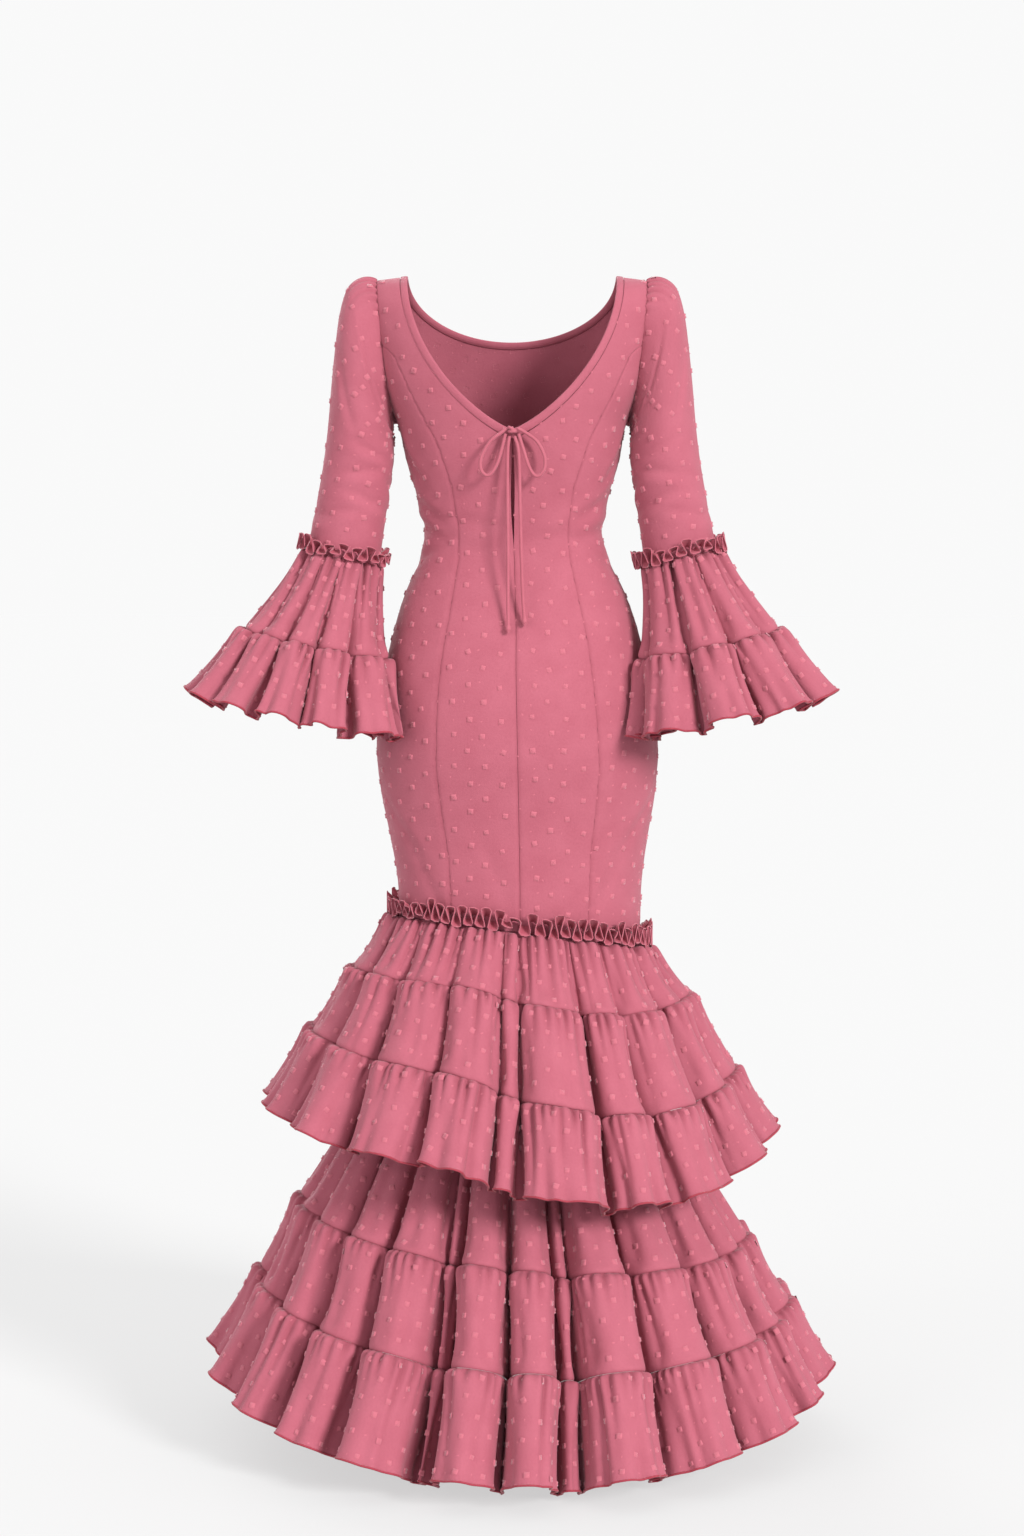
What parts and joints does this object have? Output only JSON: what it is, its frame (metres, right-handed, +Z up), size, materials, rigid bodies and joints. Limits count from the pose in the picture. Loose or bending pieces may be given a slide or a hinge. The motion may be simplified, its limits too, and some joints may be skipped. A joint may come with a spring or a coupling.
{
  "type": "flamenco dress",
  "caption": "Long fitted flamenco dress in dotted crepe, deep V back with ties, flounced sleeves and two overlapping tiered skirt flounces, held open as when worn.",
  "frame": {"origin": "mid-point between the shoulder seams, at the height of their neck ends", "axes": "+Z up, -Y to the front of the dress, +X to the wearer's left; the deep V is at the back, +Y"},
  "size_m": [0.8359, 0.7866, 1.4928],
  "materials": {
    "crepe": "matte crepe with raised dots",
    "trim": "matte crepe strip, gathered or folded",
    "tie": "matte narrow cloth cord"
  },
  "bodies": {
    "root": {"front": "crepe", "back_left": "crepe", "side_back_left": "crepe", "sleeve_left": "crepe", "sleeve_left_ruche": "trim", "back_right": "crepe", "side_back_right": "crepe", "sleeve_right": "crepe", "sleeve_right_ruche": "trim", "sleeve_left_flounce_top": "crepe", "sleeve_left_flounce_hem": "crepe", "sleeve_right_flounce_top": "crepe", "sleeve_right_flounce_hem": "crepe", "neck_binding": "trim", "skirt_ruche": "trim", "underskirt": "crepe", "upper_flounce_top": "crepe", "upper_flounce_middle": "crepe", "upper_flounce_hem": "crepe", "lower_flounce_top": "crepe", "lower_flounce_middle": "crepe", "lower_flounce_hem": "crepe", "tie_knot": "tie", "tie_left_loop": "tie", "tie_right_loop": "tie", "tie_left_tail": "tie", "tie_right_tail": "tie"}
  },
  "joints": []
}
